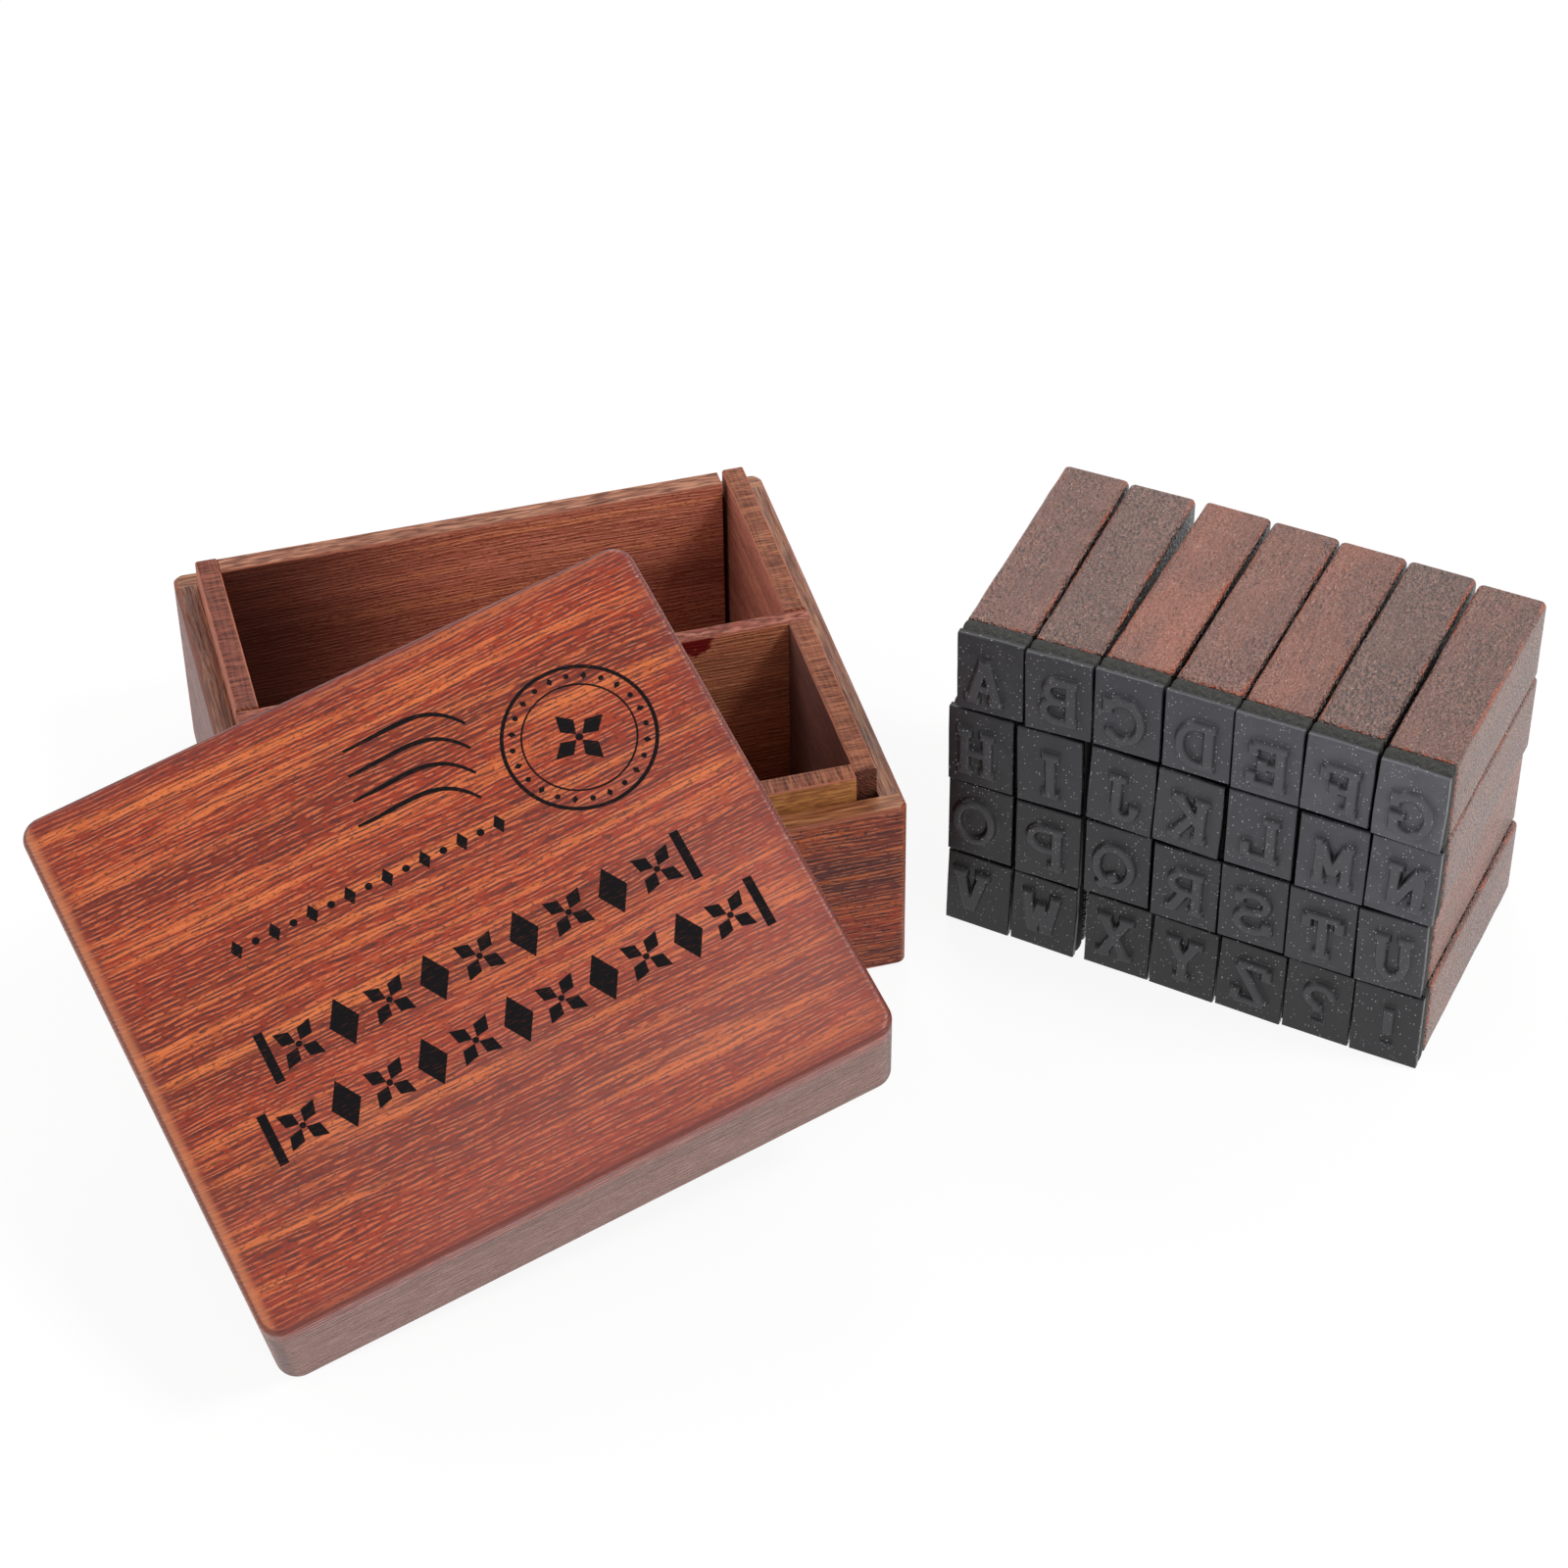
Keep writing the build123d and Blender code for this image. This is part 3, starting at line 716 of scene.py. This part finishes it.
def rubber():
    """Dark slate rubber with fine pale dust, painted light towards the right column, painted shade on the lower rows
    and beside the characters, and a painted highlight on the characters.
    """
    look = Look("die_rubber")
    parts = look.parts((X, Y, Z))
    parts[0] = look.calc("MULTIPLY_ADD", look.tagged("seed"), DIE_SHIFT, parts[0])
    cloud = look.noise(parts, (0.25, 0.25, 0.25), detail=3.0)
    matt = look.noise(parts, (5.0, 5.0, 5.0))
    dust = look.cells(parts, (1.9, 1.9, 1.9), 3.0)
    size = look.dot(dust.outputs["Color"], (0.29, 0.0, 0.0))
    speck = look.step(look.calc("SUBTRACT", dust.outputs["Distance"], size), -0.02, -0.1)
    painted_hollow_shade = look.open_within(HOLLOW_MM, only_local=True)
    # Painted light: the dies lighter towards the right column.
    colour = look.mix(look.tagged("tone"), rgb(35, 35, 39), rgb(80, 80, 87))
    colour = look.mix(look.step(cloud, 0.3, 0.7, 0.0, 0.45), colour, rgb(50, 50, 56))
    # Painted shade: the dies of the lower rows darker.
    colour = look.mix(look.times(look.tagged("row"), 0.85), colour, rgb(10, 10, 11))
    # Painted highlight: the character's raised face lighter than the plate.
    colour = look.mix(look.step(parts[1], -24.3, -24.7, 0.0, 0.5), colour, rgb(66, 66, 70))
    # Painted shade in the hollows beside the character.
    colour = look.mix(look.step(painted_hollow_shade, 0.98, 0.6, 0.0, 0.95), colour, rgb(14, 14, 15))
    colour = look.mix(look.times(speck, 0.85), colour, rgb(176, 174, 178))
    return look.paint(colour, look.step(cloud, 0.3, 0.7, 0.44, 0.36), matt, 0.02, gloss=0.42)


def foam():
    """Black closed-cell foam with an open cut skin."""
    look = Look("cushion_foam")
    parts = look.parts((X, Y, Z))
    cell = look.cells(parts, (2.6, 2.6, 2.6)).outputs["Distance"]
    grit = look.noise(parts, (1.6, 1.6, 1.6), 9.0, detail=4.0, rough=0.7)
    colour = look.mix(look.step(cell, 0.1, 0.6), rgb(14, 15, 14), rgb(44, 44, 41))
    colour = look.mix(look.step(grit, 0.5, 0.7, 0.0, 0.5), colour, rgb(78, 74, 66))
    height = look.calc("MULTIPLY_ADD", grit, 0.6, cell)
    return look.paint(colour, look.step(grit, 0.3, 0.7, 0.95, 0.75), height, 0.12)


def ink():
    """Blue-black print that the grain breaks up a little."""
    look = Look("print_ink")
    fibres = look.noise(look.parts((X, Y, Z)), (0.4, 4.5, 4.5), detail=3.0, rough=0.65)
    colour = look.mix(look.step(fibres, 0.56, 0.72, 0.0, 0.8), rgb(12, 10, 13), rgb(96, 46, 34))
    return look.paint(colour, look.step(fibres, 0.3, 0.7, 0.6, 0.5), fibres, 0.02, gloss=0.1)


def tag(piece, **values):
    """Numbers that the piece's material reads, the same all over it."""
    for key, value in values.items():
        layer = piece.data.attributes.new(key, "FLOAT", "POINT")
        layer.data.foreach_set("value", [value] * len(piece.data.vertices))


def stamp_place(node, back):
    """A packed stamp's own frame at its middle, and its size in millimetres: across, along and up."""
    axes = (back.cross(Z), back, Z)
    spans = []
    for axis in axes:
        reach = [v.co.dot(axis) / MM for v in frame["nodes"][node].data.vertices]
        spans.append((min(reach), max(reach)))
    matrix = Matrix(axes).transposed().to_4x4()
    matrix.translation = sum((axis * (low + high) / 2 * MM for axis, (low, high) in zip(axes, spans)), Vector())
    return matrix, [high - low for low, high in spans]


def build_stamps():
    """Three pieces for each stamp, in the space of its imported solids."""
    lacquer, die_rubber, cushion_foam = block_wood(), rubber(), foam()
    pulls = {joint["child"]: Vector(joint["axis"]) for joint in frame["joints"]}
    chance = random.Random(WEAR_SEED)
    for number, key in enumerate(CHARACTERS):
        node, body = f"stamp_{key}", f"stamp_{key}_body"
        matrix, (width, length, height) = stamp_place(node, pulls[body].normalized())
        front = -length / 2
        block_size = (width, length - CUSHION_MM - DIE_MM, height)
        pieces = (
            (block_piece(f"{node}_block", block_size, front + DIE_MM + CUSHION_MM, matrix, lacquer, chance),
             "stamp_wood"),
            (cushion_piece(f"{node}_cushion", (width, CUSHION_MM, height), front + DIE_MM, matrix, cushion_foam,
                           chance), "foam_cushion"),
            (die_piece(f"{node}_die", key, (width, DIE_MM, height), front, matrix, die_rubber), "rubber_die"),
        )
        row, column = divmod(number, PER_ROW)
        stain = REDNESS.get(key, chance.uniform(0.1, 0.8))
        for piece, slot_name in pieces:
            # On a block this value is the stain's redness; on a die it is painted light, lighter towards the right
            # column.
            tone = stain if slot_name == "stamp_wood" else column / (PER_ROW - 1)
            # The row value gives painted shade to the dies of the lower rows.
            tag(piece, seed=number / len(CHARACTERS), tone=tone, row=row / (ROWS - 1))
            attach(piece, body)
            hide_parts(node)


def flat_shapes(name, shapes, matrix, material):
    """Printed shapes, each a closed film over a list of points in millimetres on the lid's top."""
    vertices, faces = [], []
    for points in shapes:
        first, count = len(vertices), len(points)
        turn = sum(a[0] * b[1] - b[0] * a[1] for a, b in zip(points, points[1:] + points[:1]))
        outline = points if turn > 0 else points[::-1]
        vertices += [(x, y, 0.0) for x, y in outline] + [(x, y, -INK_MM) for x, y in outline]
        faces.append(tuple(range(first, first + count)))
        faces.append(tuple(range(first + 2 * count - 1, first + count - 1, -1)))
        for i in range(count):
            j = (i + 1) % count
            faces.append((first + i, first + count + i, first + count + j, first + j))
    piece = mesh_piece(name, vertices, faces, matrix, material, smooth=False)
    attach(piece, "lid")


def band(points, widths):
    """Small quads along a line, with a width at each point."""
    sides = []
    for i, (x, y) in enumerate(points):
        x0, y0 = points[max(i - 1, 0)]
        x1, y1 = points[min(i + 1, len(points) - 1)]
        size = math.hypot(x1 - x0, y1 - y0)
        nx, ny = -(y1 - y0) / size * widths[i] / 2, (x1 - x0) / size * widths[i] / 2
        sides.append(((x - nx, y - ny), (x + nx, y + ny)))
    return [[a, c, d, b] for (a, b), (c, d) in zip(sides, sides[1:])]


def turned(points, x, y, angle=0.0, scale=1.0):
    """Points scaled, turned and moved."""
    cos, sin = math.cos(angle) * scale, math.sin(angle) * scale
    return [(x + a * cos - b * sin, y + a * sin + b * cos) for a, b in points]


def round_dot(radius):
    """A small disc round zero."""
    return [(radius * math.cos(math.tau * i / DOT_SIDES), radius * math.sin(math.tau * i / DOT_SIDES))
            for i in range(DOT_SIDES)]


def rosette(x, y, angle, scale):
    """Four leaves round a dot."""
    shapes = [turned(LEAF, x, y, angle + math.pi / 2 * i, scale) for i in range(4)]
    return shapes + [turned(round_dot(0.55), x, y, 0.0, scale)]


def ring_shapes():
    """Two rings with small dots and lozenges between them and a rosette in the middle."""
    shapes = []
    for radius, width in RINGS:
        points = [turned([(radius, 0)], *RING_CENTRE, math.tau * i / RING_SIDES)[0] for i in range(RING_SIDES + 1)]
        shapes += band(points, [width] * len(points))
    for i in range(TICKS):
        angle = math.tau * i / TICKS
        x, y = turned([(TICK_RADIUS, 0)], *RING_CENTRE, angle)[0]
        shapes.append(turned(round_dot(0.45) if i % 2 else TICK, x, y, angle))
    return shapes + rosette(*RING_CENTRE, math.radians(20), 1.15)


def wave_shapes():
    """Wavy lines that swell in the middle."""
    shapes = []
    for i in range(WAVES):
        points, widths = [], []
        for step in range(WAVE_SIDES + 1):
            share = step / WAVE_SIDES
            points.append((WAVE_START[0] + WAVE_STEP[0] * i + WAVE_LENGTH * share,
                           WAVE_START[1] + WAVE_STEP[1] * i + 2.2 * share ** 2 - 6.8 * share ** 5))
            widths.append(0.46 + 0.36 * math.sin(math.pi * share))
        shapes += band(points, widths)
    return shapes


def small_row_shapes():
    """A row of lozenges and dots in turn."""
    y, first, pitch, count = SMALL_ROW
    return [turned(round_dot(0.62), first + pitch * i, y) if i % 2
            else turned(LOZENGE, first + pitch * i, y, 0.0, SMALL_SCALE) for i in range(count)]


def large_row_shapes(y, first, last, count):
    """A row of rosettes and lozenges in turn, between two upright bars."""
    shapes = []
    for i in range(count):
        x = first + (last - first) * i / (count - 1)
        if i % 2:
            shapes.append(turned(LOZENGE, x, y, 0.0, LARGE_SCALE))
        else:
            shapes += rosette(x, y, math.radians(45), LARGE_SCALE)
    return shapes + [turned(POST, x, y) for x in (first - POST_GAP, last + POST_GAP)]


def build_print():
    """Plain rings, wavy lines and rows of simple ornaments where the lid was printed."""
    matrix = lid_matrix()
    matrix.translation = matrix.translation + matrix.to_3x3().col[2] * INK_PROUD * MM
    black = ink()
    flat_shapes("print_ring", ring_shapes(), matrix, black)
    flat_shapes("print_waves", wave_shapes(), matrix, black)
    flat_shapes("print_small_row", small_row_shapes(), matrix, black)
    for name, *row in LARGE_ROWS:
        flat_shapes(name, large_row_shapes(*row), matrix, black)


def build_floor():
    """A floor that the camera and reflections see almost white, and that keeps a soft shadow."""
    look = Look("floor_white")
    look.paint(rgb(244, 244, 244), 0.9)
    path = look.node("ShaderNodeLightPath")
    seen = look.calc("MAXIMUM", path.outputs["Is Camera Ray"], path.outputs["Is Glossy Ray"])
    seen = look.calc("MAXIMUM", seen, path.outputs["Is Transmission Ray"])
    glow = look.node("ShaderNodeEmission", {"Color": (1, 1, 1, 1), "Strength": 1.0})
    blend = look.node("ShaderNodeMixShader", {0: look.times(seen, FLOOR_GLOW), 1: look.shader.outputs[0],
                                              2: glow.outputs[0]})
    look.feed(look.tree.nodes["Material Output"].inputs["Surface"], blend.outputs[0])
    corners = [(x * FLOOR_REACH, y * FLOOR_REACH, -FLOOR_DROP) for x, y in ((-1, -1), (1, -1), (1, 1), (-1, 1))]
    floor = mesh_piece("floor", corners, [(0, 1, 2, 3)], Matrix.Identity(4), look.material, smooth=False)


def build_world():
    """A white studio, dimmer overhead, that the camera sees as white."""
    world = bpy.data.worlds.new("studio")
    bpy.context.scene.world = world
    world.use_nodes = True
    nodes, links = world.node_tree.nodes, world.node_tree.links
    split = nodes.new("ShaderNodeSeparateXYZ")
    links.new(nodes.new("ShaderNodeTexCoord").outputs["Generated"], split.inputs[0])
    fall = nodes.new("ShaderNodeMapRange")
    fall.interpolation_type = "SMOOTHSTEP"
    for key, value in zip(("From Min", "From Max", "To Min", "To Max"), (*WORLD_FALL, WORLD_SIDES, WORLD_TOP)):
        fall.inputs[key].default_value = value
    links.new(split.outputs[2], fall.inputs["Value"])
    level = nodes.new("ShaderNodeMix")
    links.new(nodes.new("ShaderNodeLightPath").outputs["Is Camera Ray"], level.inputs[0])
    links.new(fall.outputs[0], level.inputs[2])
    level.inputs[3].default_value = 1.0
    background = nodes["Background"]
    background.inputs["Color"].default_value = (1, 1, 1, 1)
    links.new(level.outputs[0], background.inputs["Strength"])


def area_light(name, place, target, size, watts):
    """A round lamp that faces its target."""
    lamp = bpy.data.lights.new(name, "AREA")
    lamp.shape = "DISK"
    lamp.size = size
    lamp.energy = watts
    lamp_object = bpy.data.objects.new(name, lamp)
    bpy.context.scene.collection.objects.link(lamp_object)
    lamp_object.location = place
    lamp_object.rotation_euler = (Vector(target) - Vector(place)).to_track_quat("-Z", "Y").to_euler()


def build_camera():
    """The camera that took the photograph."""
    yaw, pitch, roll = CAMERA_YAW, CAMERA_PITCH, CAMERA_ROLL
    forward = Vector((-math.sin(yaw) * math.cos(pitch), math.cos(yaw) * math.cos(pitch), -math.sin(pitch)))
    right = Vector((math.cos(yaw), math.sin(yaw), 0))
    down = forward.cross(right)
    right, down = (math.cos(roll) * right + math.sin(roll) * down, -math.sin(roll) * right + math.cos(roll) * down)
    data = bpy.data.cameras.new("camera")
    data.sensor_width = SENSOR_MM
    data.lens = FOCAL_PIXELS / PHOTO_PIXELS * SENSOR_MM
    data.clip_start, data.clip_end = CAMERA_CLIP
    camera = bpy.data.objects.new("camera", data)
    bpy.context.scene.collection.objects.link(camera)
    matrix = Matrix((right, -down, -forward)).transposed().to_4x4()
    matrix.translation = CAMERA_PLACE
    camera.matrix_world = matrix
    bpy.context.scene.camera = camera


box_boards()
lid_boards()
build_stamps()
build_print()
build_floor()
build_world()
for lamp in LAMPS:
    area_light(*lamp)
build_camera()
bpy.context.scene.view_settings.view_transform = "Standard"
